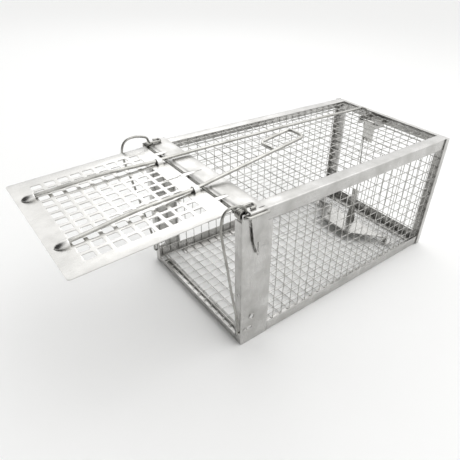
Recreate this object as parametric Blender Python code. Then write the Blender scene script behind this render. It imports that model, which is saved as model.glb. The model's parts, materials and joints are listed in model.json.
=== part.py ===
"""Live catch trap: a wire mesh cage with a punched sheet door, held open by a treadle and catch.

+X is the cage's right side seen from its back, +Y runs from the doorway to the back, +Z is up.
The origin is on the underside of the front sill, in its middle.
"""
import math

import bmesh
import bpy
from mathutils import Matrix, Vector

MM = 0.001

# Overall size
LENGTH = 240 * MM
WIDTH = 140 * MM
HEIGHT = 120 * MM

# Stock
SHEET = 0.7 * MM
GAP = 0.3 * MM

# Wire mesh: the packed panels carry every second wire, as square bars of twice the section
MESH_PITCH = 9.3 * MM
MESH_BAR = 1.1 * MM

# Folded strips
RAIL_FLANGE = 10 * MM
BACK_TOP_FLANGE = 5 * MM
BACK_POST_SIDE = 6 * MM
SILL_DEPTH = 10 * MM
SILL_HEIGHT = 6 * MM
POST_SIDE = 26 * MM
POST_FRONT = 8 * MM
EAR_DEPTH = 5.6 * MM
EAR_TOP_DROP = 0.5 * MM
POST_FRONT_DROP = 6.5 * MM
POST_SLOT_Y = 6 * MM
POST_SLOT_Z = 15 * MM
POST_SLOT_LENGTH = 9 * MM
POST_SLOT_WIDTH = 2.2 * MM
POST_EYE_Y = 10 * MM
POST_EYE_Z = 26 * MM
POST_EYE_RADIUS = 1.6 * MM
POST_PIN_HOLE_Z = 50 * MM
POST_PIN_HOLE_RADIUS = 1.1 * MM

# Roof front strip
FRONT_STRIP_DEPTH = 20 * MM
STRIP_START = 6 * MM
BARREL_HALF = 58 * MM
FLAP_DROP = 30 * MM
FLAP_KNEE = 23 * MM
FLAP_TONGUE = 35 * MM
FLAP_TONGUE_Y = (10.5 * MM, 15.5 * MM)
FLAP_TIP_Y = (11.8 * MM, 14.2 * MM)
FLAP_REAR = 22 * MM
FLAP_SLOT_WIDTH = 1.0 * MM
FLAP_SLOT_LENGTH = 8 * MM
STRIP_SLIT_WIDTH = 0.8 * MM
STRIP_SLIT_LENGTH = 4.5 * MM

# Door hinge
AXLE_RADIUS = 1.1 * MM
AXLE_CLEARANCE = 0.5 * MM
CURL_TURN = math.radians(250)
CURL_STEPS = 8
ARCH_STEPS = 8
KNUCKLE_SPACING = 42 * MM
KNUCKLE_WIDTH = 4 * MM
NOTCH_WIDTH = 4.8 * MM
AXLE_BEND_LENGTH = 18 * MM

# Door
DOOR_WIDTH = 121 * MM
DOOR_LENGTH = 107 * MM
DOOR_DROOP = math.radians(3)
DOOR_SETBACK = 1.2 * MM
DOOR_HOLES_X = 12
DOOR_HOLES_Y = 9
DOOR_HOLE = 6.2 * MM
DOOR_PITCH_X = 8.6 * MM
DOOR_PITCH_Y = 8.9 * MM
DOOR_FREE_MARGIN = 13 * MM
DOOR_SLIT_LENGTH = 14 * MM
DOOR_EYE = 2.6 * MM

# Rods on the door
ROD_RADIUS = 1.3 * MM
RODS_X = -2 * MM
ROD_FRONT_X = 32 * MM
ROD_REAR_X = 26 * MM
POCKET_FRONT = 4 * MM
POCKET_LENGTH = 7.5 * MM
POCKET_TAPER = 0.95
POCKET_GRIP = 2 * MM
BRIDGE_REAR = 8.5 * MM
BRIDGE_LENGTH = 4 * MM
BRIDGE_HALF = 2.8 * MM
ROD_BOW = 1.6 * MM
LOOP_WIDTH = 18 * MM
LOOP_LENGTH = 32 * MM
LOOP_CORNER = 5 * MM
SETTING_REACH = 104 * MM
SETTING_RISE = 12 * MM

# Door springs
SPRING_RADIUS = 0.9 * MM
SPRING_X = 66.6 * MM
SPRING_TURNS = 2.75
SPRING_PITCH = 1.95 * MM
SPRING_COIL_RADIUS = 2.4 * MM
SPRING_FOOT_Z = 12 * MM
SPRING_FOOT_DEPTH = 5 * MM
SPRING_FOOT_BEND = 2 * MM
SPRING_LOOP = 11 * MM
SPRING_LOOP_WIDTH = 5 * MM
SPRING_LOOP_END = 6 * MM
SPRING_SPREAD = {"right": 0.0, "left": 0.25}
SPRING_DROP = 92 * MM
SPRING_BOW = [
    (2.4 * MM, 3 * MM),
    (0, 7 * MM),
    (-7.5 * MM, 9.2 * MM),
    (-14 * MM, 7 * MM),
    (-16.8 * MM, -1 * MM),
    (-16 * MM, -14 * MM),
    (-12.5 * MM, -37 * MM),
    (-9.5 * MM, -59 * MM),
    (-4 * MM, -SPRING_DROP),
]

# Treadle
TREADLE_Y = 207 * MM
TREADLE_Z = 5.2 * MM
TREADLE_DEPTH = 30 * MM
TREADLE_REAR_HALF = 46 * MM
TREADLE_FRONT_HALF = 20 * MM
TREADLE_TILT = math.radians(6)
TREADLE_AXLE_RADIUS = 0.8 * MM
TREADLE_CLEARANCE = 0.3 * MM
TREADLE_KNUCKLE_X = 40 * MM
TREADLE_KNUCKLE_WIDTH = 8 * MM
EAR_BASE_HALF = 6 * MM
EAR_TOP_HALF = 3.5 * MM
EAR_WAIST = 12 * MM
EAR_HEIGHT = 39 * MM
EAR_EYE_DROP = 3.5 * MM
BRACKET_HEIGHT = 8.5 * MM
BRACKET_HALF_DEPTH = 4 * MM
BRACKET_FOOT = 6 * MM
BAIT_X = -20 * MM
BAIT_SETBACK = 14 * MM
BAIT_HEIGHT = 12 * MM
THIN_WIRE = 0.7 * MM

# Catch
CATCH_Y = 225.6 * MM
CATCH_BELOW_TOP = 9 * MM
CATCH_AXLE_RADIUS = 0.9 * MM
CATCH_LEFT = -20 * MM
CATCH_RIGHT = -7 * MM
CATCH_DROP = 21 * MM
CATCH_EYE_X = -17 * MM
CATCH_EYE_LIFT = 3 * MM
CATCH_HOOK_X = -21.8 * MM
CATCH_HOOK_REACH = 7.5 * MM
HOOK_RADIUS = 0.8 * MM
LINK_EYE_CLEARANCE = 0.4 * MM
LUG_SIDE = 3.6 * MM
LUG_DEPTH = 3.6 * MM
LUG_HALF_HEIGHT = 4 * MM

# Places worked out from the sizes above
FRONT = -SILL_DEPTH / 2
BACK = FRONT + LENGTH
SIDE_OUT = WIDTH / 2 - SHEET - GAP
ROOF_OUT = HEIGHT - SHEET - GAP
STRIP_MID = HEIGHT - SHEET / 2
SHEET_CORNER = SHEET / 2
RAIL_BACK = BACK - SHEET - GAP
MESH_FLOOR = SHEET + GAP + MESH_BAR / 2
MESH_ROOF = ROOF_OUT - SHEET - GAP - MESH_BAR / 2
MESH_SIDE = SIDE_OUT - SHEET - GAP - MESH_BAR / 2
MESH_BACK = RAIL_BACK - MESH_BAR / 2
CURL_RADIUS = AXLE_RADIUS + AXLE_CLEARANCE + SHEET / 2
AXLE_Y = FRONT + CURL_RADIUS + SHEET / 2
AXLE_Z = STRIP_MID - CURL_RADIUS
AXLE = Vector((0, AXLE_Y, AXLE_Z))
TREADLE_AXIS = Vector((0, FRONT + TREADLE_Y, TREADLE_Z))
CATCH_Z = HEIGHT - CATCH_BELOW_TOP
CATCH_AXIS = Vector((0, FRONT + CATCH_Y, CATCH_Z))
CATCH_CURL = CATCH_AXLE_RADIUS + GAP + SHEET / 2
CATCH_PLATE_Y = CATCH_AXIS.y + CATCH_CURL
ROD_LIFT = CURL_RADIUS + SHEET / 2 + GAP + ROD_RADIUS
TREADLE_CURL = TREADLE_AXLE_RADIUS + TREADLE_CLEARANCE + SHEET / 2
LINK_TOP = Vector((CATCH_EYE_X, CATCH_PLATE_Y, CATCH_Z - CATCH_DROP + CATCH_EYE_LIFT))

GALVANISED = (0.68, 0.69, 0.70, 1)
BRIGHT_WIRE = (0.60, 0.61, 0.62, 1)
SPRING_STEEL = (0.42, 0.43, 0.43, 1)


def material(name, colour, roughness):
    mat = bpy.data.materials.new(name)
    mat.use_nodes = True
    shader = mat.node_tree.nodes["Principled BSDF"]
    shader.inputs["Base Color"].default_value = colour
    shader.inputs["Metallic"].default_value = 1.0
    shader.inputs["Roughness"].default_value = roughness
    return mat


def finish(obj, colour, roughness):
    obj.data.materials.append(material(obj.name, colour, roughness))
    return obj


# ---------------------------------------------------------------- sheet metal

def loft(rows, leave_out=None):
    """Four-sided faces between equally long rows of points; leave_out(i, j) skips a face."""
    faces = []
    for i in range(len(rows) - 1):
        for j in range(len(rows[i]) - 1):
            if leave_out is None or not leave_out(i, j):
                faces.append([rows[i][j], rows[i + 1][j], rows[i + 1][j + 1], rows[i][j + 1]])
    return faces


def sheet(name, faces, thickness=SHEET):
    """A piece of folded sheet, given by the faces of its middle surface."""
    bm = bmesh.new()
    corners = {}
    for face in faces:
        ring = []
        for point in face:
            key = tuple(round(value, 6) for value in point)
            if key not in corners:
                corners[key] = bm.verts.new(point)
            if corners[key] not in ring:
                ring.append(corners[key])
        bm.faces.new(ring)
    bmesh.ops.recalc_face_normals(bm, faces=bm.faces)
    mesh = bpy.data.meshes.new(name)
    bm.to_mesh(mesh)
    bm.free()
    obj = bpy.data.objects.new(name, mesh)
    bpy.context.collection.objects.link(obj)
    wall = obj.modifiers.new("wall", "SOLIDIFY")
    wall.thickness = thickness
    wall.offset = 0
    wall.use_even_offset = True
    return finish(obj, GALVANISED, 0.35)


def along_y(path, stations):
    """Rows of points: the (x, z) path repeated at each y."""
    return [[(x, y, z) for x, z in path] for y in stations]


def along_x(path, stations):
    """Rows of points: the (y, z) path repeated at each x."""
    return [[(x, y, z) for y, z in path] for x in stations]


def along_z(path, stations):
    """Rows of points: the (x, y) path repeated at each z."""
    return [[(x, y, z) for x, y in path] for z in stations]


def curl(centre_y, centre_z, radius, start, turn, steps=CURL_STEPS):
    """Points (y, z) of a rolled edge; angles run from the top, positive towards the front."""
    points = []
    for step in range(steps + 1):
        angle = start + turn * step / steps
        points.append((centre_y - radius * math.sin(angle), centre_z + radius * math.cos(angle)))
    return points


def lattice_lines(low, high):
    """Places of the cuts across a mesh panel: bar, hole, bar, hole ... bar."""
    pairs = max(1, round((high - low - MESH_BAR) / (2 * MESH_PITCH)))
    step = (high - low - MESH_BAR) / pairs
    lines = []
    for k in range(pairs + 1):
        lines += [low + k * step, low + k * step + MESH_BAR]
    return lines


def mesh_panel(name, us, vs, place):
    """A flat wire panel: us and vs are its cuts, place turns (u, v) into a point."""
    rows = [[place(u, v) for v in vs] for u in us]
    return sheet(name, loft(rows, lambda i, j: i % 2 == 1 and j % 2 == 1), MESH_BAR)


# ---------------------------------------------------------------- wire

def rounded(points, radius, steps=4):
    """The points of a bent wire, each inner corner turned into an arc of the given radius."""
    points = [Vector(p) for p in points]
    result = [points[0]]
    for before, corner, after in zip(points, points[1:], points[2:]):
        to_before = (before - corner).normalized()
        to_after = (after - corner).normalized()
        half = to_before.angle(to_after) / 2
        limit = 0.45 * min((before - corner).length, (after - corner).length)
        reach = min(radius / math.tan(half), limit)
        start = corner + to_before * reach
        end = corner + to_after * reach
        for step in range(steps + 1):
            t = step / steps
            result.append(start * (1 - t) ** 2 + corner * 2 * t * (1 - t) + end * t ** 2)
    result.append(points[-1])
    return result


def flowing(points, steps=5):
    """Points of a smooth curve through the given ones."""
    points = [Vector(p) for p in points]
    ends = [points[0] * 2 - points[1]] + points + [points[-1] * 2 - points[-2]]
    result = []
    for a, b, c, d in zip(ends, ends[1:], ends[2:], ends[3:]):
        for step in range(steps):
            t = step / steps
            result.append(0.5 * (2 * b + (c - a) * t + (2 * a - 5 * b + 4 * c - d) * t ** 2
                                 + (3 * b - a - 3 * c + d) * t ** 3))
    result.append(points[-1])
    return result


def wire(name, points, radius, colour=BRIGHT_WIRE, resolution=1, closed=False):
    curve = bpy.data.curves.new(name, "CURVE")
    curve.dimensions = "3D"
    curve.bevel_depth = radius
    curve.bevel_resolution = resolution
    curve.use_fill_caps = not closed
    spline = curve.splines.new("POLY")
    spline.points.add(len(points) - 1)
    for point, place in zip(spline.points, points):
        point.co = (*place, 1)
    spline.use_cyclic_u = closed
    spline.use_smooth = True
    obj = bpy.data.objects.new(name, curve)
    bpy.context.collection.objects.link(obj)
    return finish(obj, colour, 0.25)


# ---------------------------------------------------------------- cutters

def hidden(obj):
    obj.hide_render = True
    obj.display_type = "WIRE"
    return obj


def box_cutter(name, low, high):
    low, high = Vector(low), Vector(high)
    bpy.ops.mesh.primitive_cube_add(size=1, location=(low + high) / 2)
    obj = bpy.context.object
    obj.name = name
    obj.data.transform(Matrix.Diagonal((*(high - low), 1)))
    return hidden(obj)


def round_cutter(name, centre, radius, length, along):
    bpy.ops.mesh.primitive_cylinder_add(vertices=16, radius=radius, depth=length, location=centre)
    obj = bpy.context.object
    obj.name = name
    turn = {"X": Matrix.Rotation(math.pi / 2, 4, "Y"), "Y": Matrix.Rotation(math.pi / 2, 4, "X")}[along]
    obj.data.transform(turn)
    return hidden(obj)


def combine(obj, other, operation):
    step = obj.modifiers.new(other.name, "BOOLEAN")
    step.object = other
    step.operation = operation
    step.solver = "EXACT"
    return obj


def cut(obj, cutter):
    return combine(obj, cutter, "DIFFERENCE")


# ---------------------------------------------------------------- joints

def axis_empty(name, place):
    empty = bpy.data.objects.new(name, None)
    empty.location = place
    bpy.context.collection.objects.link(empty)
    return empty


def hang(obj, empty):
    """Puts the piece's origin on its joint axis and lets it follow the empty."""
    obj.data.transform(Matrix.Translation(-empty.location))
    obj.parent = empty
    return obj


def sides():
    return (("right", 1), ("left", -1))


# ---------------------------------------------------------------- cage

def build_mesh_panels():
    across = lattice_lines(-MESH_SIDE + MESH_BAR / 2 + GAP, MESH_SIDE - MESH_BAR / 2 - GAP)
    lengthways = lattice_lines(FRONT + STRIP_START, RAIL_BACK)
    roof_lengthways = lattice_lines(FRONT + FRONT_STRIP_DEPTH / 2, RAIL_BACK)
    upright = lattice_lines(MESH_FLOOR - MESH_BAR / 2, MESH_ROOF + MESH_BAR / 2)
    back_upright = lattice_lines(MESH_FLOOR + MESH_BAR / 2 + GAP, MESH_ROOF - MESH_BAR / 2 - GAP)
    floor_stop = MESH_BACK - MESH_BAR / 2 - GAP
    back_gap = GAP + MESH_BAR
    floor_cuts = lattice_lines(FRONT + SHEET + GAP, floor_stop + back_gap)
    mesh_panel("floor_mesh", across, floor_cuts, lambda u, v: (u, v, MESH_FLOOR))
    mesh_panel("roof_mesh", across, roof_lengthways, lambda u, v: (u, v, MESH_ROOF))
    for side, s in sides():
        mesh_panel("side_mesh_" + side, lengthways, upright, lambda u, v, s=s: (s * MESH_SIDE, u, v))
    mesh_panel("back_mesh", across, back_upright, lambda u, v: (u, MESH_BACK, v))


def build_rails():
    edge = SIDE_OUT - SHEET_CORNER
    inner = SIDE_OUT - RAIL_FLANGE
    roof_z = ROOF_OUT - SHEET_CORNER
    for side, s in sides():
        roof_path = [(s * inner, roof_z), (s * edge, roof_z), (s * edge, ROOF_OUT - RAIL_FLANGE)]
        sheet("roof_rail_" + side, loft(along_y(roof_path, (FRONT + STRIP_START, RAIL_BACK))))
        floor_path = [(s * inner, SHEET_CORNER), (s * edge, SHEET_CORNER), (s * edge, RAIL_FLANGE)]
        sheet("floor_rail_" + side, loft(along_y(floor_path, (FRONT + POST_SIDE + GAP, RAIL_BACK))))
        outside = s * (WIDTH / 2 - SHEET_CORNER)
        back = BACK - SHEET_CORNER
        post_path = [(s * inner, back), (outside, back), (outside, BACK - BACK_POST_SIDE)]
        levels = (0, RAIL_FLANGE + GAP, ROOF_OUT - RAIL_FLANGE - GAP, ROOF_OUT)
        sheet("back_post_" + side, loft(along_z(post_path, levels), lambda i, j: i != 1 and j == 0))
    flange_end = inner - GAP
    half_cross = (flange_end - 2 * SHEET, flange_end, SIDE_OUT)
    cross = [-x for x in reversed(half_cross)] + list(half_cross)
    skip_ends = lambda i, j: i in (0, 4) and j == 0
    rear = BACK - SHEET_CORNER
    top_path = [(BACK - BACK_TOP_FLANGE, roof_z), (rear, roof_z), (rear, ROOF_OUT - RAIL_FLANGE)]
    sheet("back_top_rail", loft(along_x(top_path, cross), skip_ends))
    low_path = [(BACK - RAIL_FLANGE, SHEET_CORNER), (rear, SHEET_CORNER), (rear, RAIL_FLANGE)]
    sheet("back_floor_rail", loft(along_x(low_path, cross), skip_ends))


def build_front_posts():
    for side, s in sides():
        edge = SIDE_OUT - SHEET_CORNER
        path = [
            (s * (SIDE_OUT - POST_FRONT), FRONT + SHEET_CORNER),
            (s * edge, FRONT + SHEET_CORNER),
            (s * edge, FRONT + EAR_DEPTH),
            (s * edge, FRONT + POST_SIDE),
        ]
        levels = (0, ROOF_OUT - RAIL_FLANGE - GAP, HEIGHT - POST_FRONT_DROP, HEIGHT - EAR_TOP_DROP)
        above = {0: (), 1: (2,), 2: (0, 2)}
        post = sheet("front_post_" + side, loft(along_z(path, levels), lambda i, j: j in above[i]))
        x = s * edge
        reach = 4 * SHEET
        slot = Vector((x, FRONT + POST_SLOT_Y, POST_SLOT_Z))
        size = Vector((reach, POST_SLOT_LENGTH / 2, POST_SLOT_WIDTH / 2))
        cut(post, box_cutter("slot_" + side, slot - size, slot + size))
        eye = (x, FRONT + POST_EYE_Y, POST_EYE_Z)
        cut(post, round_cutter("eye_" + side, eye, POST_EYE_RADIUS, 2 * reach, "X"))
        hole = AXLE_RADIUS + GAP
        cut(post, round_cutter("axle_hole_" + side, (x, AXLE_Y, AXLE_Z), hole, 2 * reach, "X"))
        foot = (s * SPRING_X, FRONT, SPRING_FOOT_Z)
        cut(post, round_cutter("spring_hole_" + side, foot, SPRING_RADIUS + GAP, 2 * reach, "Y"))
        pin = (s * (SIDE_OUT - POST_FRONT / 2), FRONT, POST_PIN_HOLE_Z)
        cut(post, round_cutter("pin_hole_" + side, pin, POST_PIN_HOLE_RADIUS, 2 * reach, "Y"))


def build_front_sill():
    half = SIDE_OUT - POST_FRONT - GAP
    front = FRONT + SHEET_CORNER
    path = [(FRONT + SILL_DEPTH, SHEET_CORNER), (front, SHEET_CORNER), (front, SILL_HEIGHT)]
    sheet("front_sill", loft(along_x(path, (-half, half))))


def build_roof_front_strip():
    side = WIDTH / 2 - SHEET_CORNER
    flat_front = AXLE_Y + CURL_RADIUS + SHEET
    path = [(FRONT + FRONT_STRIP_DEPTH, STRIP_MID), (FRONT + FLAP_TONGUE_Y[1], STRIP_MID)]
    path += [(FRONT + STRIP_START, STRIP_MID), (flat_front, STRIP_MID)]
    path += curl(AXLE_Y, AXLE_Z, CURL_RADIUS, 0, CURL_TURN)
    notch = NOTCH_WIDTH / 2
    stations = [-side, -BARREL_HALF]
    for k in (-1, 0, 1):
        stations += [k * KNUCKLE_SPACING - notch, k * KNUCKLE_SPACING + notch]
    stations += [BARREL_HALF, side]
    last = len(stations) - 2

    def leave_out(i, j):
        outside = i in (0, last)
        in_notch = i in (2, 4, 6)
        return (outside and j >= 2) or (in_notch and j >= 3)

    faces = loft(along_x(path, stations), leave_out)
    top, knee, bottom = STRIP_MID, HEIGHT - FLAP_KNEE, HEIGHT - FLAP_DROP
    left_y, right_y = FLAP_TONGUE_Y
    knee_y = (STRIP_START + left_y) / 2
    tip = HEIGHT - FLAP_TONGUE
    for _, s in sides():
        x = s * side

        def at(y, z, x=x):
            return (x, FRONT + y, z)

        deep = FRONT_STRIP_DEPTH
        faces.append([at(STRIP_START, top), at(right_y, top), at(right_y, knee), at(knee_y, knee)])
        faces.append([at(right_y, top), at(deep, top), at(FLAP_REAR, knee), at(right_y, knee)])
        faces.append([at(knee_y, knee), at(right_y, knee), at(right_y, bottom), at(left_y, bottom)])
        faces.append([at(right_y, knee), at(FLAP_REAR, knee), at(FLAP_REAR, bottom), at(right_y, bottom)])
        tongue = [at(left_y, bottom), at(right_y, bottom)]
        faces.append(tongue + [at(FLAP_TIP_Y[1], tip), at(FLAP_TIP_Y[0], tip)])
    strip = sheet("roof_front_strip", faces)
    slot_y = (left_y + right_y) / 2 - FLAP_SLOT_WIDTH
    for name, s in sides():
        low = (s * side - 3 * SHEET, FRONT + slot_y, bottom - FLAP_SLOT_WIDTH)
        high = (s * side + 3 * SHEET, FRONT + slot_y + FLAP_SLOT_WIDTH, bottom + FLAP_SLOT_LENGTH)
        cut(strip, box_cutter("flap_slot_" + name, low, high))
    slit_y = FRONT + STRIP_START + STRIP_SLIT_LENGTH / 2
    low = Vector((-STRIP_SLIT_WIDTH / 2, slit_y, top - 3 * SHEET))
    high = low + Vector((STRIP_SLIT_WIDTH, STRIP_SLIT_LENGTH, 6 * SHEET))
    cut(strip, box_cutter("strip_slit", low, high))


# ---------------------------------------------------------------- door

def tilt(point):
    """Turns a point of the level door about the axle to where the open door droops."""
    return Matrix.Rotation(DOOR_DROOP, 3, "X") @ (Vector(point) - AXLE) + AXLE


def build_hinge_axle():
    outside = WIDTH / 2 + GAP + AXLE_RADIUS
    bend = AXLE_Y + AXLE_BEND_LENGTH
    points = [(-outside, bend, AXLE_Z), (-outside, AXLE_Y, AXLE_Z)]
    points += [(outside, AXLE_Y, AXLE_Z), (outside, bend, AXLE_Z)]
    wire("hinge_axle", rounded(points, 2.5 * AXLE_RADIUS), AXLE_RADIUS, BRIGHT_WIRE, 2)


def door_cuts(count, pitch, start):
    cuts = []
    for k in range(count):
        cuts += [start + k * pitch, start + k * pitch + DOOR_HOLE]
    return cuts


def arch(name, x, rear, length, taper):
    """A lanced arch over a rod, its feet sunk into the door; taper closes its front to a pocket."""
    sheet_mid = AXLE_Z + CURL_RADIUS
    half = BRIDGE_HALF + SHEET / 2
    rise = ROD_LIFT + ROD_RADIUS + GAP + SHEET / 2 - CURL_RADIUS
    rows = []
    for along in (0, 0.5, 0.8, 1):
        size = math.sqrt(1 - (taper * along) ** 3)
        row = []
        for step in range(ARCH_STEPS + 1):
            angle = math.pi * step / ARCH_STEPS
            across, up = half * size * math.cos(angle), rise * size * math.sin(angle)
            row.append(tilt((x + across, rear - length * along, sheet_mid + up)))
        rows.append(row)
    return hidden(sheet(name, loft(rows)))


def build_door_panel(pivot):
    half = DOOR_WIDTH / 2
    sheet_z = AXLE_Z + CURL_RADIUS
    free = AXLE_Y - DOOR_LENGTH
    rear = AXLE_Y - CURL_RADIUS - SHEET - DOOR_SETBACK
    field_x = (DOOR_HOLES_X - 1) * DOOR_PITCH_X + DOOR_HOLE
    xs = door_cuts(DOOR_HOLES_X, DOOR_PITCH_X, -field_x / 2)
    ys = door_cuts(DOOR_HOLES_Y, DOOR_PITCH_Y, free + DOOR_FREE_MARGIN)
    xs = [-half] + xs + [half]
    ys = [free] + ys + [rear]
    rows = [[tilt((x, y, sheet_z)) for y in ys] for x in xs]
    holes = lambda i, j: i % 2 == 1 and j % 2 == 1
    door = sheet("door_panel", loft(rows, holes))
    for k in (-1, 0, 1):
        middle = k * KNUCKLE_SPACING
        path = [(rear - 2 * SHEET, sheet_z)] + curl(AXLE_Y, AXLE_Z, CURL_RADIUS, 0, -CURL_TURN)
        stations = (middle - KNUCKLE_WIDTH / 2, middle + KNUCKLE_WIDTH / 2)
        rows = [[tilt(point) for point in row] for row in along_x(path, stations)]
        combine(door, hidden(sheet("knuckle_%d" % (k + 1), loft(rows))), "UNION")
    for name, s in sides():
        pocket_rear = free + POCKET_FRONT + POCKET_LENGTH
        pocket = arch("pocket_" + name, RODS_X + s * ROD_FRONT_X, pocket_rear, POCKET_LENGTH, POCKET_TAPER)
        combine(door, pocket, "UNION")
        bridge_rear = AXLE_Y - BRIDGE_REAR + BRIDGE_LENGTH / 2
        bridge = arch("bridge_" + name, RODS_X + s * ROD_REAR_X, bridge_rear, BRIDGE_LENGTH, 0)
        combine(door, bridge, "UNION")
    eye_rear = rear - 3 * SHEET
    openings = (("slit", STRIP_SLIT_WIDTH / 2, DOOR_SLIT_LENGTH), ("eye", DOOR_EYE / 2, DOOR_EYE))
    for name, half, length in openings:
        low = tilt((-half, eye_rear - length, sheet_z - 3 * SHEET))
        cut(door, box_cutter("door_" + name, low, tilt((half, eye_rear, sheet_z + 3 * SHEET))))
    hang(door, pivot)


def rod_over_door(s):
    """Points of a rod from inside its pocket to the rear bridge, bowed up a little between them."""
    front = AXLE_Y - DOOR_LENGTH + POCKET_FRONT + POCKET_LENGTH - POCKET_GRIP
    rear = AXLE_Y - BRIDGE_REAR + BRIDGE_LENGTH / 2
    points = []
    steps = 8
    for step in range(steps + 1):
        t = step / steps
        x = RODS_X + s * (ROD_FRONT_X + (ROD_REAR_X - ROD_FRONT_X) * t)
        lift = ROD_LIFT + ROD_BOW * math.sin(math.pi * t) ** 2
        points.append(tilt((x, front + (rear - front) * t, AXLE_Z + lift)))
    return points


def build_trigger_rod(pivot):
    end_y = CATCH_PLATE_Y + SHEET / 2 - 2 * GAP
    over_roof = HEIGHT + GAP + ROD_RADIUS
    points = rod_over_door(-1)
    points.append(Vector((RODS_X - ROD_REAR_X, AXLE_Y + 2 * CURL_RADIUS, over_roof + GAP)))
    points.append(Vector((RODS_X - ROD_REAR_X, FRONT + LENGTH / 2, over_roof + ROD_RADIUS)))
    points.append(Vector((RODS_X - ROD_REAR_X, end_y, over_roof)))
    hang(wire("trigger_rod", flowing(points, 2), ROD_RADIUS, BRIGHT_WIRE, 2), pivot)


def build_setting_rod(pivot):
    points = rod_over_door(1)
    slope = (ROD_FRONT_X - ROD_REAR_X) / (DOOR_LENGTH - POCKET_FRONT - BRIDGE_REAR)
    start = points[-1]
    rise = SETTING_RISE / SETTING_REACH

    def beyond(reach, inward=0.0):
        return Vector((RODS_X + ROD_REAR_X - slope * reach - inward, start.y + reach, start.z + rise * reach))

    far = SETTING_REACH
    near = SETTING_REACH - LOOP_LENGTH
    over = 2.2 * ROD_RADIUS
    corners = [beyond(near / 2), beyond(far), beyond(far, LOOP_WIDTH)]
    corners += [beyond(near, LOOP_WIDTH), beyond(near, over)]
    loop = rounded([start] + corners, LOOP_CORNER, 4)
    hang(wire("setting_rod", points[:-1] + loop, ROD_RADIUS, BRIGHT_WIRE, 2), pivot)


def build_door_springs():
    for side, s in sides():
        points = []
        steps = round(12 * SPRING_TURNS)
        inner_x = SPRING_X - SPRING_TURNS * SPRING_PITCH
        leg_y = AXLE_Y + SPRING_LOOP
        leg_z = HEIGHT + GAP + SPRING_RADIUS
        outer_x = inner_x + SPRING_LOOP_WIDTH
        tail = [(outer_x, AXLE_Y + SPRING_LOOP_END, leg_z), (outer_x, leg_y, leg_z)]
        tail += [(inner_x, leg_y, leg_z), (inner_x, AXLE_Y + SPRING_COIL_RADIUS, leg_z)]
        points += rounded(tail, SPRING_LOOP_WIDTH / 2)
        for step in range(steps + 1):
            turn = 2 * math.pi * step / 12
            y = AXLE_Y - SPRING_COIL_RADIUS * math.sin(turn)
            z = AXLE_Z + SPRING_COIL_RADIUS * math.cos(turn)
            points.append((inner_x + SPRING_PITCH * step / 12, y, z))
        bow = []
        for y, z in SPRING_BOW:
            spread = 1 + SPRING_SPREAD[side] * min(1, 1 + z / SPRING_DROP)
            bow.append((SPRING_X, AXLE_Y + (y * spread if y < 0 else y), AXLE_Z + z))
        heel = (SPRING_X, FRONT - SPRING_FOOT_BEND, SPRING_FOOT_Z)
        toe = (SPRING_X, FRONT + SPRING_FOOT_DEPTH, SPRING_FOOT_Z)
        points += flowing(bow, 3) + rounded([bow[-1], heel, toe], SPRING_FOOT_BEND)[1:]
        points = [(s * x, y, z) for x, y, z in points]
        wire("door_spring_" + side, points, SPRING_RADIUS, SPRING_STEEL)


# ---------------------------------------------------------------- treadle and catch

def treadle_turn(point):
    """Turns a point of the level treadle about its axle to its raised, set position."""
    return Matrix.Rotation(-TREADLE_TILT, 3, "X") @ (Vector(point) - TREADLE_AXIS) + TREADLE_AXIS


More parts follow.
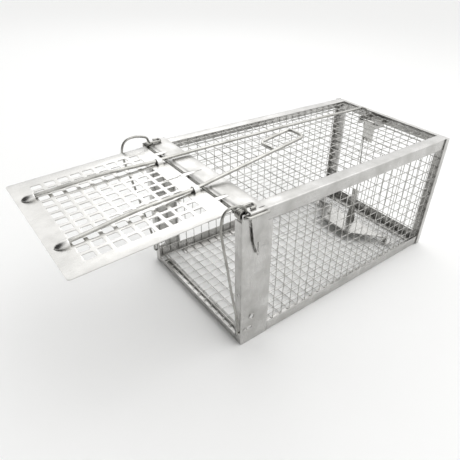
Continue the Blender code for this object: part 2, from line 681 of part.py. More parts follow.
def build_treadle(pivot):
    plate_z = TREADLE_Z + TREADLE_CURL
    rear = TREADLE_AXIS.y - TREADLE_CURL - SHEET
    front = TREADLE_AXIS.y - TREADLE_DEPTH
    half_knuckle = TREADLE_KNUCKLE_WIDTH / 2
    knuckle = (TREADLE_KNUCKLE_X - half_knuckle, TREADLE_KNUCKLE_X + half_knuckle)
    right = [EAR_BASE_HALF, knuckle[0], knuckle[1], TREADLE_REAR_HALF]
    xs = [-x for x in reversed(right)] + right
    narrowing = TREADLE_FRONT_HALF / TREADLE_REAR_HALF

    def front_x(x):
        if abs(x) <= EAR_BASE_HALF:
            return x
        middle = math.copysign(EAR_BASE_HALF * (1 - narrowing), x)
        return x * narrowing + middle * (TREADLE_REAR_HALF - abs(x)) / TREADLE_REAR_HALF

    rear_row = [treadle_turn((x, rear, plate_z)) for x in xs]
    front_row = [treadle_turn((front_x(x), front, plate_z)) for x in xs]
    lip_row = [treadle_turn((front_x(x), front - SHEET, plate_z - 2 * SHEET)) for x in xs]
    faces = loft([rear_row, front_row, lip_row])
    for s in (-1, 1):
        path = [(rear, plate_z)] + curl(TREADLE_AXIS.y, TREADLE_Z, TREADLE_CURL, 0, -CURL_TURN)
        stations = sorted((s * knuckle[0], s * knuckle[1]))
        faces += loft([[treadle_turn(point) for point in row] for row in along_x(path, stations)])
    ear_y = treadle_turn((0, rear, plate_z)).y
    base_z = treadle_turn((0, rear, plate_z)).z
    levels = [(EAR_BASE_HALF, base_z), (EAR_TOP_HALF, base_z + EAR_WAIST)]
    levels.append((EAR_TOP_HALF, TREADLE_Z + EAR_HEIGHT))
    ear = [[(-half, ear_y, z), (half, ear_y, z)] for half, z in levels]
    faces += loft(ear)
    plate = sheet("treadle_plate", faces)
    eye = (0, ear_y, TREADLE_Z + EAR_HEIGHT - EAR_EYE_DROP)
    cut(plate, round_cutter("ear_eye", eye, THIN_WIRE + LINK_EYE_CLEARANCE, 6 * SHEET, "Y"))
    hang(plate, pivot)
    bait_y = TREADLE_AXIS.y - BAIT_SETBACK
    foot = treadle_turn((BAIT_X, bait_y, plate_z + SHEET_CORNER + GAP + THIN_WIRE))
    toe = treadle_turn((BAIT_X, bait_y - 5 * MM, plate_z + SHEET_CORNER + GAP + THIN_WIRE))
    top = foot + Vector((0, 0, BAIT_HEIGHT))
    tip = top + Vector((0, -5 * MM, 0))
    end = tip + Vector((0, 0, -4 * MM))
    hang(wire("bait_hook", rounded([toe, foot, top, tip, end], 2 * MM, 3), THIN_WIRE), pivot)
    return Vector(eye)


def build_treadle_mount():
    lug_x = TREADLE_REAR_HALF + 2 * MM
    ends = lug_x + 2 * MM
    axle = [(-ends, TREADLE_AXIS.y, TREADLE_Z), (ends, TREADLE_AXIS.y, TREADLE_Z)]
    wire("treadle_axle", [Vector(p) for p in axle], TREADLE_AXLE_RADIUS)
    foot_z = MESH_FLOOR + MESH_BAR / 2 + GAP + SHEET / 2
    stations = (TREADLE_AXIS.y - BRACKET_HALF_DEPTH, TREADLE_AXIS.y + BRACKET_HALF_DEPTH)
    for side, s in sides():
        path = [(s * (lug_x + BRACKET_FOOT), foot_z), (s * lug_x, foot_z), (s * lug_x, BRACKET_HEIGHT)]
        lug = sheet("treadle_bracket_" + side, loft(along_y(path, stations)))
        hole = (s * lug_x, TREADLE_AXIS.y, TREADLE_Z)
        cut(lug, round_cutter("lug_hole_" + side, hole, TREADLE_AXLE_RADIUS + GAP, 6 * SHEET, "X"))


def build_catch(pivot):
    bottom = CATCH_Z - CATCH_DROP
    path = [(CATCH_PLATE_Y, bottom)] + curl(CATCH_AXIS.y, CATCH_Z, CATCH_CURL, -math.pi / 2, CURL_TURN)
    plate = sheet("catch_plate", loft(along_x(path, (CATCH_LEFT, CATCH_RIGHT))))
    cut(plate, round_cutter("catch_eye", LINK_TOP, THIN_WIRE + GAP, 6 * SHEET, "Y"))
    hang(plate, pivot)
    rear_y = CATCH_PLATE_Y + SHEET / 2 + GAP + HOOK_RADIUS
    tip_z = HEIGHT + GAP + ROD_RADIUS
    hook = [
        (CATCH_RIGHT - 4 * MM, rear_y, CATCH_Z - 8 * MM),
        (CATCH_HOOK_X, rear_y, CATCH_Z - 8 * MM),
        (CATCH_HOOK_X, rear_y, tip_z),
        (CATCH_HOOK_X - CATCH_HOOK_REACH, rear_y, tip_z),
    ]
    hang(wire("catch_hook", rounded(hook, 1.6 * MM, 3), HOOK_RADIUS), pivot)


def build_catch_mount():
    left = CATCH_HOOK_X - HOOK_RADIUS - LUG_SIDE / 2
    right = CATCH_RIGHT + LUG_SIDE
    back = MESH_BACK - MESH_BAR / 2 - GAP - SHEET / 2
    front = CATCH_AXIS.y - LUG_DEPTH
    path = [(left, front), (left, back), (right, back), (right, front)]
    levels = (CATCH_Z - LUG_HALF_HEIGHT, CATCH_Z + LUG_HALF_HEIGHT)
    bracket = sheet("catch_bracket", loft(along_z(path, levels)))
    hole = ((left + right) / 2, CATCH_AXIS.y, CATCH_Z)
    cut(bracket, round_cutter("catch_hole", hole, CATCH_AXLE_RADIUS + GAP, right - left + 6 * SHEET, "X"))
    ends = 1.5 * MM
    axle = [Vector((left - ends, *CATCH_AXIS.yz)), Vector((right + ends, *CATCH_AXIS.yz))]
    wire("catch_axle", axle, CATCH_AXLE_RADIUS)


def build_link(pivot, ear_eye):
    hook = 2.2 * MM
    top_out = LINK_TOP + Vector((0, -hook, 0))
    low_out = ear_eye + Vector((0, hook, 0))
    points = [LINK_TOP + Vector((0, hook, 0)), top_out, low_out, ear_eye + Vector((0, -hook, 0))]
    hang(wire("link_wire", rounded(points, 1.2 * MM, 3), THIN_WIRE), pivot)


def build():
    for obj in list(bpy.data.objects):
        bpy.data.objects.remove(obj)
    door_axis = axis_empty("door_axis", AXLE)
    treadle_axis = axis_empty("treadle_axis", TREADLE_AXIS)
    catch_axis = axis_empty("catch_axis", CATCH_AXIS)
    link_axis = axis_empty("link_axis", LINK_TOP)
    build_mesh_panels()
    build_rails()
    build_front_posts()
    build_front_sill()
    build_roof_front_strip()
    build_hinge_axle()
    build_door_panel(door_axis)
    build_trigger_rod(door_axis)
    build_setting_rod(door_axis)
    build_door_springs()
    ear_eye = build_treadle(treadle_axis)
    build_treadle_mount()
    build_catch(catch_axis)
    build_catch_mount()
    build_link(link_axis, ear_eye)


build()
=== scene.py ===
"""Live catch trap in bright galvanised steel: welded mesh, folded strips, punched door, wire springs."""
import json
import math

import bmesh
import bpy
from mathutils import Matrix, Vector, noise


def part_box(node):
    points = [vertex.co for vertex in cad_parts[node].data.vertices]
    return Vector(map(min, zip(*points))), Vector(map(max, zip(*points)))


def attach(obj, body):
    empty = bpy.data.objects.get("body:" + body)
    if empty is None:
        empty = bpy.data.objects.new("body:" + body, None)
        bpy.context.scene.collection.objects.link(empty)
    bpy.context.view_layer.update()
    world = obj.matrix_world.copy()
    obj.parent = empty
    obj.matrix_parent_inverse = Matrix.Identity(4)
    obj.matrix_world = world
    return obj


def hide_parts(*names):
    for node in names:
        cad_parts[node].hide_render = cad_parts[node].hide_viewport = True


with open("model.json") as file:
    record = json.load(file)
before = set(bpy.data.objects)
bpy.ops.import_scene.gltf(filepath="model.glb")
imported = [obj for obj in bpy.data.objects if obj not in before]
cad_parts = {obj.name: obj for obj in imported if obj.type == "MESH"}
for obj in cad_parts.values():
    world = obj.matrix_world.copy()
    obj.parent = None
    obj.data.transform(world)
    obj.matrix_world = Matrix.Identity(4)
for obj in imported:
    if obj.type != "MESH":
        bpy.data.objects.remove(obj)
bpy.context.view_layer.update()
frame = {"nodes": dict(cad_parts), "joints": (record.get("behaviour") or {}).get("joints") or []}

MM = 0.001
SHEET = 0.7 * MM
FOLD = 0.9 * MM
RIM = 0.1 * MM
MESH_RADIUS = 0.34 * MM
MESH_SINK = 0.28 * MM
# The thicker wire across the floor behind the sill: its radius, and its middle above the mesh's underside.
SILL_WIRE_RADIUS = 0.65 * MM
SILL_WIRE_LIFT = 0.75 * MM
X, Y, Z = 0, 1, 2
SIDES = (("right", 1), ("left", -1))

places = {joint["name"]: Vector(joint["pos_m"]) for joint in frame["joints"]}
AXLE = places["door_swing"]


# ---------------------------------------------------------------- picking and shaping

def idle():
    """Object mode with nothing selected, as every new primitive needs."""
    if bpy.context.object and bpy.context.object.mode != "OBJECT":
        bpy.ops.object.mode_set(mode="OBJECT")
    bpy.ops.object.select_all(action="DESELECT")


def take(piece):
    idle()
    piece.select_set(True)
    bpy.context.view_layer.objects.active = piece
    return piece


def mark(piece, kind, wanted):
    """Edit mode, with only those vertices, edges or faces selected whose middle is wanted."""
    take(piece)
    bpy.ops.object.mode_set(mode="EDIT")
    bpy.ops.mesh.select_mode(type=kind)
    bpy.ops.mesh.select_all(action="DESELECT")
    shape = bmesh.from_edit_mesh(piece.data)
    for part in {"VERT": shape.verts, "EDGE": shape.edges, "FACE": shape.faces}[kind]:
        corners = [part.co] if kind == "VERT" else [vert.co for vert in part.verts]
        if wanted(sum(corners, Vector()) / len(corners)):
            part.select_set(True)
    bmesh.update_edit_mesh(piece.data)


def near(value, target):
    return abs(value - target) < 0.01 * MM


def everything(_):
    return True


def settle(piece, kind, **settings):
    """Adds a modifier and applies it."""
    take(piece)
    step = piece.modifiers.new(kind, kind)
    for key, value in settings.items():
        setattr(step, key, value)
    bpy.ops.object.modifier_apply(modifier=step.name)


def pull(piece, wanted, move):
    """Extrudes the wanted edges by a move."""
    mark(piece, "EDGE", wanted)
    bpy.ops.mesh.extrude_region_move(TRANSFORM_OT_translate={"value": move})


def cut_across(piece, wanted, place, normal):
    """Cuts the wanted faces along a plane, and keeps both sides."""
    mark(piece, "FACE", wanted)
    bpy.ops.mesh.bisect(plane_co=place, plane_no=normal)


def along(axis, length):
    step = Vector()
    step[axis] = length
    return step


def nudge(piece, spot, goal):
    """Moves the vertex at a spot to its goal."""
    idle()
    for vert in piece.data.vertices:
        if (vert.co - Vector(spot)).length < 0.05 * MM:
            vert.co = goal


def handled(piece, amount, grain=35.0):
    """The slight unevenness of thin metal folded and handled by hand."""
    idle()
    for vert in piece.data.vertices:
        vert.co += noise.noise_vector(vert.co * grain) * amount


def thicken(piece, thickness=SHEET):
    mark(piece, "FACE", everything)
    bpy.ops.mesh.normals_make_consistent(inside=False)
    settle(piece, "SOLIDIFY", thickness=thickness, offset=0, use_even_offset=True)


def ease(piece, rim=RIM, angle=38):
    """Rounds the cut edges a little, so that they catch the light, and shades the folds smooth."""
    settle(piece, "BEVEL", width=rim, segments=2, limit_method="ANGLE", angle_limit=math.radians(40))
    mark(piece, "FACE", everything)
    bpy.ops.mesh.normals_make_consistent(inside=False)
    take(piece)
    bpy.ops.object.shade_smooth_by_angle(angle=math.radians(angle))


def combine(piece, other, operation="DIFFERENCE"):
    settle(piece, "BOOLEAN", object=other, operation=operation, solver="EXACT")
    bpy.data.objects.remove(other)


def block(low, high):
    idle()
    low, high = Vector(low), Vector(high)
    bpy.ops.mesh.primitive_cube_add(size=1, location=(low + high) / 2, scale=high - low)
    bpy.ops.object.transform_apply()
    return bpy.context.object


def drill(middle, radius, depth, axis):
    idle()
    turn = Vector((0, 0, 1)).rotation_difference(along(axis, 1)).to_euler()
    bpy.ops.mesh.primitive_cylinder_add(vertices=24, radius=radius, depth=depth,
                                        location=middle, rotation=turn)
    bpy.ops.object.transform_apply()
    return bpy.context.object


def joined(name, pieces):
    idle()
    for piece in pieces:
        piece.select_set(True)
    bpy.context.view_layer.objects.active = pieces[0]
    bpy.ops.object.join()
    pieces[0].name = name
    pieces[0].data.name = name
    return pieces[0]


def deliver(piece, body, finish, slot, *nodes):
    """Gives the piece its finish, and lets it ride in place of its CAD nodes; slot is not used."""
    idle()
    piece.data.materials.clear()
    piece.data.materials.append(finish)
    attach(piece, body)
    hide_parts(*nodes)


# ---------------------------------------------------------------- finishes

def colour(code):
    """An sRGB hex colour as linear values."""
    parts = [int(code[i:i + 2], 16) / 255 for i in (0, 2, 4)]
    linear = [c / 12.92 if c <= 0.04045 else ((c + 0.055) / 1.055) ** 2.4 for c in parts]
    return (*linear, 1)


def add(tree, kind, settings=None, **links):
    """Adds a node; settings name properties or sockets, links name sockets and what feeds them."""
    node = tree.nodes.new(kind)
    for key, value in (settings or {}).items():
        if hasattr(node, key):
            setattr(node, key, value)
        else:
            node.inputs[key].default_value = value
    for key, source in links.items():
        tree.links.new(source, node.inputs[key.replace("_", " ")])
    return node


def galvanised(name, light, dark, grain, roughness, dents):
    """Zinc-coated steel: bright grey, cloudy, with fine lines along the way that it was rolled or drawn."""
    finish = bpy.data.materials.new(name)
    finish.use_nodes = True
    tree = finish.node_tree
    shader = tree.nodes["Principled BSDF"]
    shader.inputs["Metallic"].default_value = 1.0
    spot = add(tree, "ShaderNodeTexCoord").outputs["Object"]
    clouds = add(tree, "ShaderNodeTexNoise", {"Scale": 70.0, "Detail": 4.0, "Roughness": 0.6}, Vector=spot)
    stretched = add(tree, "ShaderNodeMapping", {"Scale": grain}, Vector=spot)
    lines = add(tree, "ShaderNodeTexNoise", {"Scale": 1.0, "Detail": 3.0}, Vector=stretched.outputs[0])
    tone = add(tree, "ShaderNodeMapRange", {"From Min": 0.3, "From Max": 0.7}, Value=clouds.outputs["Fac"])
    paint = add(tree, "ShaderNodeMix", {"data_type": "RGBA"})
    paint.inputs[6].default_value = colour(light)
    paint.inputs[7].default_value = colour(dark)
    tree.links.new(tone.outputs[0], paint.inputs[0])
    tree.links.new(paint.outputs[2], shader.inputs["Base Color"])
    low, high = roughness
    blend = add(tree, "ShaderNodeMath", {"operation": "MULTIPLY"})
    tree.links.new(clouds.outputs["Fac"], blend.inputs[0])
    tree.links.new(lines.outputs["Fac"], blend.inputs[1])
    gloss = add(tree, "ShaderNodeMapRange",
                {"From Min": 0.1, "From Max": 0.45, "To Min": low, "To Max": high}, Value=blend.outputs[0])
    tree.links.new(gloss.outputs[0], shader.inputs["Roughness"])
    dent = add(tree, "ShaderNodeTexNoise", {"Scale": 45.0, "Detail": 1.0}, Vector=spot)
    fine = add(tree, "ShaderNodeBump", {"Strength": 0.25, "Distance": 0.02 * MM}, Height=lines.outputs["Fac"])
    soft = add(tree, "ShaderNodeBump", {"Strength": 1.0, "Distance": dents}, Height=dent.outputs["Fac"])
    tree.links.new(fine.outputs[0], soft.inputs["Normal"])
    tree.links.new(soft.outputs[0], shader.inputs["Normal"])
    return finish


# Rolled strip: lines about 0.4 mm apart along its length, soft clouds where the zinc took unevenly.
LINE = 2500.0
STRETCH = 60.0
strip_x = galvanised("galvanised_strip_across", "C6C5C3", "ADACA9",
                     (STRETCH, LINE, LINE), (0.22, 0.42), 0.5 * MM)
strip_y = galvanised("galvanised_strip_lengthways", "CAC9C7", "B2B1AE",
                     (LINE, STRETCH, LINE), (0.22, 0.42), 0.5 * MM)
strip_z = galvanised("galvanised_strip_upright", "CBCAC8", "B0AFAC",
                     (LINE, LINE, STRETCH), (0.22, 0.42), 0.5 * MM)
# The door's sheet is the brightest part: smooth and little handled.
door_sheet = galvanised("galvanised_door_sheet", "D4D3D0", "C3C2BF",
                        (LINE, STRETCH, LINE), (0.2, 0.36), 0.4 * MM)
# Mesh wire: dull after welding and dipping.
mesh_wire = galvanised("galvanised_mesh_wire", "CCCBC8", "A3A29E",
                       (900.0, 900.0, 900.0), (0.28, 0.5), 0.1 * MM)
# Drawn wire of the rods and the axle.
drawn_wire = galvanised("galvanised_drawn_wire", "C0BFBB", "9A9994",
                        (1500.0, 200.0, 1500.0), (0.2, 0.38), 0.1 * MM)
# Hard-drawn spring wire: darker, with an oily sheen.
spring_wire = galvanised("spring_wire", "B0AFAB", "85847F", (1500.0, 1500.0, 200.0), (0.2, 0.36), 0.1 * MM)


# ---------------------------------------------------------------- welded mesh

def wire_row(low, high, run, across, count, lift):
    """Straight wires along one axis, spaced evenly along another."""
    normal = 3 - run - across
    middle = (low + high) / 2
    start = middle.copy()
    start[across] = low[across] + MESH_RADIUS
    start[normal] += lift
    idle()
    turn = Vector((0, 0, 1)).rotation_difference(along(run, 1)).to_euler()
    bpy.ops.mesh.primitive_cylinder_add(
        vertices=8, radius=MESH_RADIUS, depth=high[run] - low[run], location=start, rotation=turn)
    row = bpy.context.object
    bpy.ops.object.transform_apply()
    mark(row, "EDGE", lambda spot: near(spot[run], middle[run]))
    bpy.ops.mesh.subdivide(number_cuts=19)
    step = (high[across] - low[across] - 2 * MESH_RADIUS) / (count - 1)
    settle(row, "ARRAY", count=count, use_relative_offset=False, use_constant_offset=True,
           constant_offset_displace=along(across, step))
    return row


# Where the catch's hook pushes a roof wire aside.
HOOK_WIRE = Vector((-21.8 * MM, 224.5 * MM, 0))


def welded_panel(name, node, first, second, pitches, outward, extra=None):
    """Two layers of wires, welded where they cross; the outer layer runs along the first axis.

    extra is the place of a thicker wire across the floor."""
    low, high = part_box(node)
    outer = wire_row(low, high, first, second, pitches[1] + 1, outward * MESH_SINK)
    inner = wire_row(low, high, second, first, pitches[0] + 1, -outward * MESH_SINK)
    layers = [outer, inner]
    if extra:
        idle()
        bpy.ops.mesh.primitive_cylinder_add(vertices=12, radius=SILL_WIRE_RADIUS, depth=high.x - low.x,
                                            location=(0, extra, low.z + SILL_WIRE_LIFT),
                                            rotation=(0, math.pi / 2, 0))
        bpy.ops.object.transform_apply()
        layers.append(bpy.context.object)
    panel = joined(name, layers)
    normal = 3 - first - second
    for vert in panel.data.vertices:
        place = vert.co.copy()
        share = [math.sin(math.pi * (place[a] - low[a]) / (high[a] - low[a])) for a in (first, second)]
        calm = max(0.0, min(1.0, 3 * share[0])) * max(0.0, min(1.0, 3 * share[1]))
        sway = noise.noise_vector(place * 28) * 0.45 * MM + noise.noise_vector(place * 90) * 0.16 * MM
        sway[normal] *= 1.3
        vert.co += sway * calm
        if node == "roof_mesh" and abs(place.y - HOOK_WIRE.y) < 2 * MM:
            aside = max(0.0, 1 - ((place.x - HOOK_WIRE.x) / (8 * MM)) ** 2)
            vert.co.y += 2.4 * MM * aside ** 2
    take(panel)
    bpy.ops.object.shade_smooth_by_angle(angle=math.radians(50))
    deliver(panel, "cage", mesh_wire, "mesh_wire", node)
    return panel


welded_panel("floor_welded_mesh", "floor_mesh", X, Y, (14, 26), -1, 2.4 * MM)
welded_panel("roof_welded_mesh", "roof_mesh", X, Y, (14, 25), 1)
for side, s in SIDES:
    welded_panel(side + "_welded_mesh", "side_mesh_" + side, Z, Y, (12, 26), s)
welded_panel("back_welded_mesh", "back_mesh", X, Z, (14, 12), 1)


# ---------------------------------------------------------------- folded strips

def folded(name, run, ends, corners, cuts=24, uneven=0.12 * MM):
    """A strip of sheet along one axis, folded at the inner corners of its section."""
    others = [axis for axis in (X, Y, Z) if axis != run]

    def spot(end, corner):
        place = Vector()
        place[run] = end
        place[others[0]], place[others[1]] = corner
        return place

    idle()
    bpy.ops.mesh.primitive_plane_add(size=1)
    strip = bpy.context.object
    strip.name = name
    strip.data.name = name
    starts = [spot(end, corner) for corner in corners[:2] for end in ends]
    for vert, place in zip(strip.data.vertices, starts):
        vert.co = place
    middle = sum(ends) / 2
    for corner, following in zip(corners[1:], corners[2:]):
        edge = spot(middle, corner)
        pull(strip, lambda place: (place - edge).length < 0.01 * MM, spot(0, following) - spot(0, corner))
    for corner in corners[1:-1]:
        edge = spot(middle, corner)
        mark(strip, "EDGE", lambda place: (place - edge).length < 0.01 * MM)
        bpy.ops.mesh.bevel(offset=FOLD, segments=4)
    mark(strip, "EDGE", lambda place: near(place[run], middle))
    bpy.ops.mesh.subdivide(number_cuts=cuts)
    handled(strip, uneven)
    return strip


def finished_strip(name, node, run, ends, corners, finish, away=()):
    """A folded strip; away lists the blocks cut from it where other strips lie."""
    strip = folded(name, run, ends, corners)
    thicken(strip)
    for corner, far_corner in away:
        combine(strip, block(corner, far_corner))
    ease(strip)
    deliver(strip, "cage", finish, "folded_sheet", node)


HALF = SHEET / 2
RAIL_REACH = 10.3 * MM
for side, s in SIDES:
    low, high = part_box("roof_rail_" + side)
    outer = s * (max(abs(low.x), abs(high.x)) - HALF)
    inner = s * min(abs(low.x), abs(high.x))
    section = [(inner, high.z - HALF), (outer, high.z - HALF), (outer, low.z)]
    finished_strip(side + "_roof_edge", "roof_rail_" + side, Y, (low.y, high.y), section, strip_y)
    low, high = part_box("floor_rail_" + side)
    section = [(inner, low.z + HALF), (outer, low.z + HALF), (outer, high.z)]
    finished_strip(side + "_floor_edge", "floor_rail_" + side, Y, (low.y, high.y), section, strip_y)
    low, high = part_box("back_post_" + side)
    outside = s * (70 * MM - HALF)
    section = [(inner, high.y - HALF), (outside, high.y - HALF), (outside, low.y)]
    ends = ((low.z - 1 * MM, RAIL_REACH), (high.z - RAIL_REACH, high.z + 1 * MM))
    away = [((min(0, s * 69 * MM), 232 * MM, end[0]), (max(0, s * 69 * MM), 236 * MM, end[1]))
            for end in ends]
    finished_strip(side + "_back_corner", "back_post_" + side, Z, (low.z, high.z), section, strip_z, away)

low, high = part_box("back_top_rail")
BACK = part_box("back_post_right")[1].y
section = [(low.y, high.z - HALF), (BACK - HALF, high.z - HALF), (BACK - HALF, low.z)]
finished_strip("back_top_edge", "back_top_rail", X, (low.x, high.x), section, strip_x)
low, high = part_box("back_floor_rail")
section = [(low.y, low.z + HALF), (BACK - HALF, low.z + HALF), (BACK - HALF, high.z)]
finished_strip("back_floor_edge", "back_floor_rail", X, (low.x, high.x), section, strip_x)
low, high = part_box("front_sill")
section = [(high.y, low.z + HALF), (low.y + HALF, low.z + HALF), (low.y + HALF, high.z)]
finished_strip("front_floor_edge", "front_sill", X, (low.x, high.x), section, strip_x)


# ---------------------------------------------------------------- doorway posts

EAR_REAR = 5.6 * MM
FLANGE_TOP = 113.5 * MM
POST_TOP = 108.7 * MM


def ring(middle, radius, thickness, axis):
    idle()
    turn = Vector((0, 0, 1)).rotation_difference(along(axis, 1)).to_euler()
    bpy.ops.mesh.primitive_torus_add(
        major_radius=radius, minor_radius=thickness, major_segments=28, minor_segments=8,
        location=middle, rotation=turn)
    bpy.ops.object.transform_apply()
    return bpy.context.object


def doorway_post(side, s):
    node = "front_post_" + side
    low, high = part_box(node)
    front = low.y + HALF
    outer = s * (69 * MM - HALF)
    inner = s * 61 * MM
    ear = low.y + EAR_REAR
    idle()
    bpy.ops.mesh.primitive_plane_add(size=1)
    post = bpy.context.object
    corners = [(inner, front, 0), (outer, front, 0), (inner, front, POST_TOP), (outer, front, POST_TOP)]
    for vert, place in zip(post.data.vertices, corners):
        vert.co = place
    pull(post, lambda p: near(p.x, outer) and near(p.z, POST_TOP / 2), (0, ear - front, 0))
    pull(post, lambda p: near(p.y, ear) and near(p.z, POST_TOP / 2), (0, high.y - ear, 0))
    pull(post, lambda p: near(p.z, POST_TOP) and p.y < ear, (0, 0, FLANGE_TOP - POST_TOP))
    pull(post, lambda p: near(p.z, FLANGE_TOP) and near(p.x, outer), (0, 0, high.z - FLANGE_TOP))
    mark(post, "EDGE", lambda p: near(p.x, outer) and near(p.y, front) and p.z < FLANGE_TOP)
    bpy.ops.mesh.bevel(offset=FOLD, segments=4)
    mark(post, "EDGE", lambda p: near(p.z, POST_TOP / 2))
    bpy.ops.mesh.subdivide(number_cuts=16)
    handled(post, 0.12 * MM)
    thicken(post)
    combine(post, drill((outer, AXLE.y, AXLE.z), 1.4 * MM, 6 * SHEET, X))
    combine(post, drill((outer, 5 * MM, 26 * MM), 2.1 * MM, 6 * SHEET, X))
    combine(post, drill((s * 66.6 * MM, front, 12 * MM), 1.2 * MM, 6 * SHEET, Y))
    combine(post, drill((s * 65 * MM, front, 50 * MM), 1.1 * MM, 6 * SHEET, Y))
    combine(post, block((outer - 2 * MM, -2.8 * MM, 14.0 * MM), (outer + 2 * MM, 5.6 * MM, 16.4 * MM)))
    ease(post)
    # Lips that the punch raised round the eye and under the slot.
    lip = ring((outer + s * 0.4 * MM, 5 * MM, 26 * MM), 2.4 * MM, 0.5 * MM, X)
    brow = ring((outer + s * 0.3 * MM, 0, 0), 4.4 * MM, 0.5 * MM, X)
    brow.data.transform(Matrix.Translation((0, 1.4 * MM, 15.2 * MM)) @ Matrix.Rotation(0.12, 4, "X")
                        @ Matrix.Diagonal((1, 1, 0.36, 1)))
    for part in (lip, brow):
        take(part)
        bpy.ops.object.shade_smooth()
    post = joined(side + "_doorway_post", [post, lip, brow])
    deliver(post, "cage", strip_z, "folded_sheet", node)


for side, s in SIDES:
    doorway_post(side, s)


# ---------------------------------------------------------------- strip over the doorway

CURL = 1.95 * MM
CURL_TURN = math.radians(250)
KNUCKLES = (-42 * MM, 0, 42 * MM)
BARREL_HALF = 58 * MM
NOTCH_HALF = 2.4 * MM


def curl_edge(piece, wanted, turn):
    """Rolls the wanted edges round the door's axle."""
    mark(piece, "EDGE", wanted)
    bpy.ops.mesh.spin(steps=16, angle=turn, center=AXLE, axis=(1, 0, 0))


def doorway_strip():
    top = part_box("roof_front_strip")[1].z - HALF
    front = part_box("roof_front_strip")[0].y
    nose = AXLE.y
    start, split, rear = front + 6 * MM, front + 15.5 * MM, front + 20 * MM
    edge = 70 * MM - HALF
    idle()
    bpy.ops.mesh.primitive_plane_add(size=1)
    strip = bpy.context.object
    corners = [(-BARREL_HALF, nose), (BARREL_HALF, nose), (-BARREL_HALF, rear), (BARREL_HALF, rear)]
    for vert, (x, y) in zip(strip.data.vertices, corners):
        vert.co = (x, y, top)
    groove = nose + 1.3 * MM
    for y in (groove, nose + 2.7 * MM, start, split):
        cut_across(strip, everything, (0, y, top), (0, 1, 0))
    for knuckle in KNUCKLES:
        for x in (knuckle - NOTCH_HALF, knuckle + NOTCH_HALF):
            cut_across(strip, everything, (x, 0, top), (1, 0, 0))

    def under_barrel(x):
        return all(abs(x - knuckle) > NOTCH_HALF for knuckle in KNUCKLES)

    mark(strip, "FACE", lambda p: p.y < nose + 2.7 * MM and not under_barrel(p.x))
    bpy.ops.mesh.delete(type="FACE")
    curl_edge(strip, lambda p: near(p.y, nose) and under_barrel(p.x), CURL_TURN)
    mark(strip, "VERT", lambda p: near(p.y, groove) and near(p.z, top))
    bpy.ops.transform.translate(value=(0, 0, -0.8 * MM))
    knee, bottom, tip = 97 * MM, 90 * MM, 85 * MM
    for s in (-1, 1):
        pull(strip, lambda p: near(p.x, s * BARREL_HALF) and p.y > start and near(p.z, top),
             (s * (edge - BARREL_HALF), 0, 0))
        pull(strip, lambda p: near(p.x, s * edge) and near(p.z, top), (0, 0, knee - top))
        pull(strip, lambda p: near(p.x, s * edge) and near(p.z, knee), (0, 0, bottom - knee))
        pull(strip, lambda p: near(p.x, s * edge) and near(p.z, bottom) and p.y < split, (0, 0, tip - bottom))
        x = s * edge
        lifted = x + s * 1.5 * MM
        nudge(strip, (x, start, knee), (lifted, front + 8.2 * MM, knee))
        nudge(strip, (x, rear, knee), (x, front + 22 * MM, knee))
        nudge(strip, (x, start, bottom), (lifted, front + 10.5 * MM, bottom))
        nudge(strip, (x, rear, bottom), (x + s * 0.9 * MM, front + 22 * MM, bottom))
        nudge(strip, (x, start, tip), (lifted, front + 11.8 * MM, tip))
        nudge(strip, (x, split, tip), (x, front + 14.2 * MM, tip))
        mark(strip, "EDGE", lambda p: near(p.x, s * edge) and near(p.z, top))
        bpy.ops.mesh.bevel(offset=FOLD, segments=4)
    thicken(strip)
    for s in (-1, 1):
        x = s * edge
        combine(strip, block((x - 2 * MM, front + 11.6 * MM, 88 * MM),
                             (x + 2 * MM, front + 12.5 * MM, 96 * MM)))
        combine(strip, block((s * 66.8 * MM, 9.6 * MM, top - 2 * MM),
                             (s * 67.7 * MM, 14.2 * MM, top + 2 * MM)))
    combine(strip, block((-0.3 * MM, 3.5 * MM, top - 2 * MM), (0.3 * MM, 8.5 * MM, top + 2 * MM)))
    ease(strip)
    strip.name = "doorway_strip"
    deliver(strip, "cage", strip_x, "folded_sheet", "roof_front_strip")


doorway_strip()


# ---------------------------------------------------------------- door

DROOP = Matrix.Translation(AXLE) @ Matrix.Rotation(math.radians(3), 4, "X") @ Matrix.Translation(-AXLE)
DOOR_HALF = 60.5 * MM
DOOR_LENGTH = 107 * MM
FIELD_MARGIN = 13 * MM
HOLE_PITCH = (8.6 * MM, 8.9 * MM)
HOLES = (12, 9)
HOLE_BORDER = 1.2 * MM
ROD_RADIUS = 1.3 * MM
AXLE_RADIUS = 1.1 * MM
ROD_LIFT = CURL + HALF + 0.3 * MM + ROD_RADIUS
RODS_X = -2 * MM
ROD_FRONT_X = 32 * MM
ROD_REAR_X = 26 * MM
BRIDGE_REACH = 8.5 * MM


def arch(x, rear, length, taper):
    """A strip of the door raised over a rod; with a taper it closes to a pocket at its front."""
    rise = ROD_LIFT + ROD_RADIUS + 0.3 * MM + HALF - CURL
    idle()
    bpy.ops.mesh.primitive_cylinder_add(vertices=32, radius=1, depth=1, end_fill_type="NOTHING",
                                        rotation=(math.pi / 2, 0, 0))
    bpy.ops.object.transform_apply()
    hoop = bpy.context.object
    mark(hoop, "EDGE", lambda p: near(p.y, 0))
    bpy.ops.mesh.subdivide(number_cuts=9)
    mark(hoop, "FACE", lambda p: p.z < 0)
    bpy.ops.mesh.delete(type="FACE")
    idle()
    for vert in hoop.data.vertices:
        reach = 0.5 - vert.co.y
        size = math.sqrt(max(0.02, 1 - (taper * reach) ** 2.6))
        vert.co = (x + vert.co.x * size * 3.2 * MM, rear - reach * length,
                   AXLE.z + CURL - 0.25 * MM + vert.co.z * size * rise)
    thicken(hoop, 0.6 * MM)
    ease(hoop, 0.08 * MM)
    return hoop


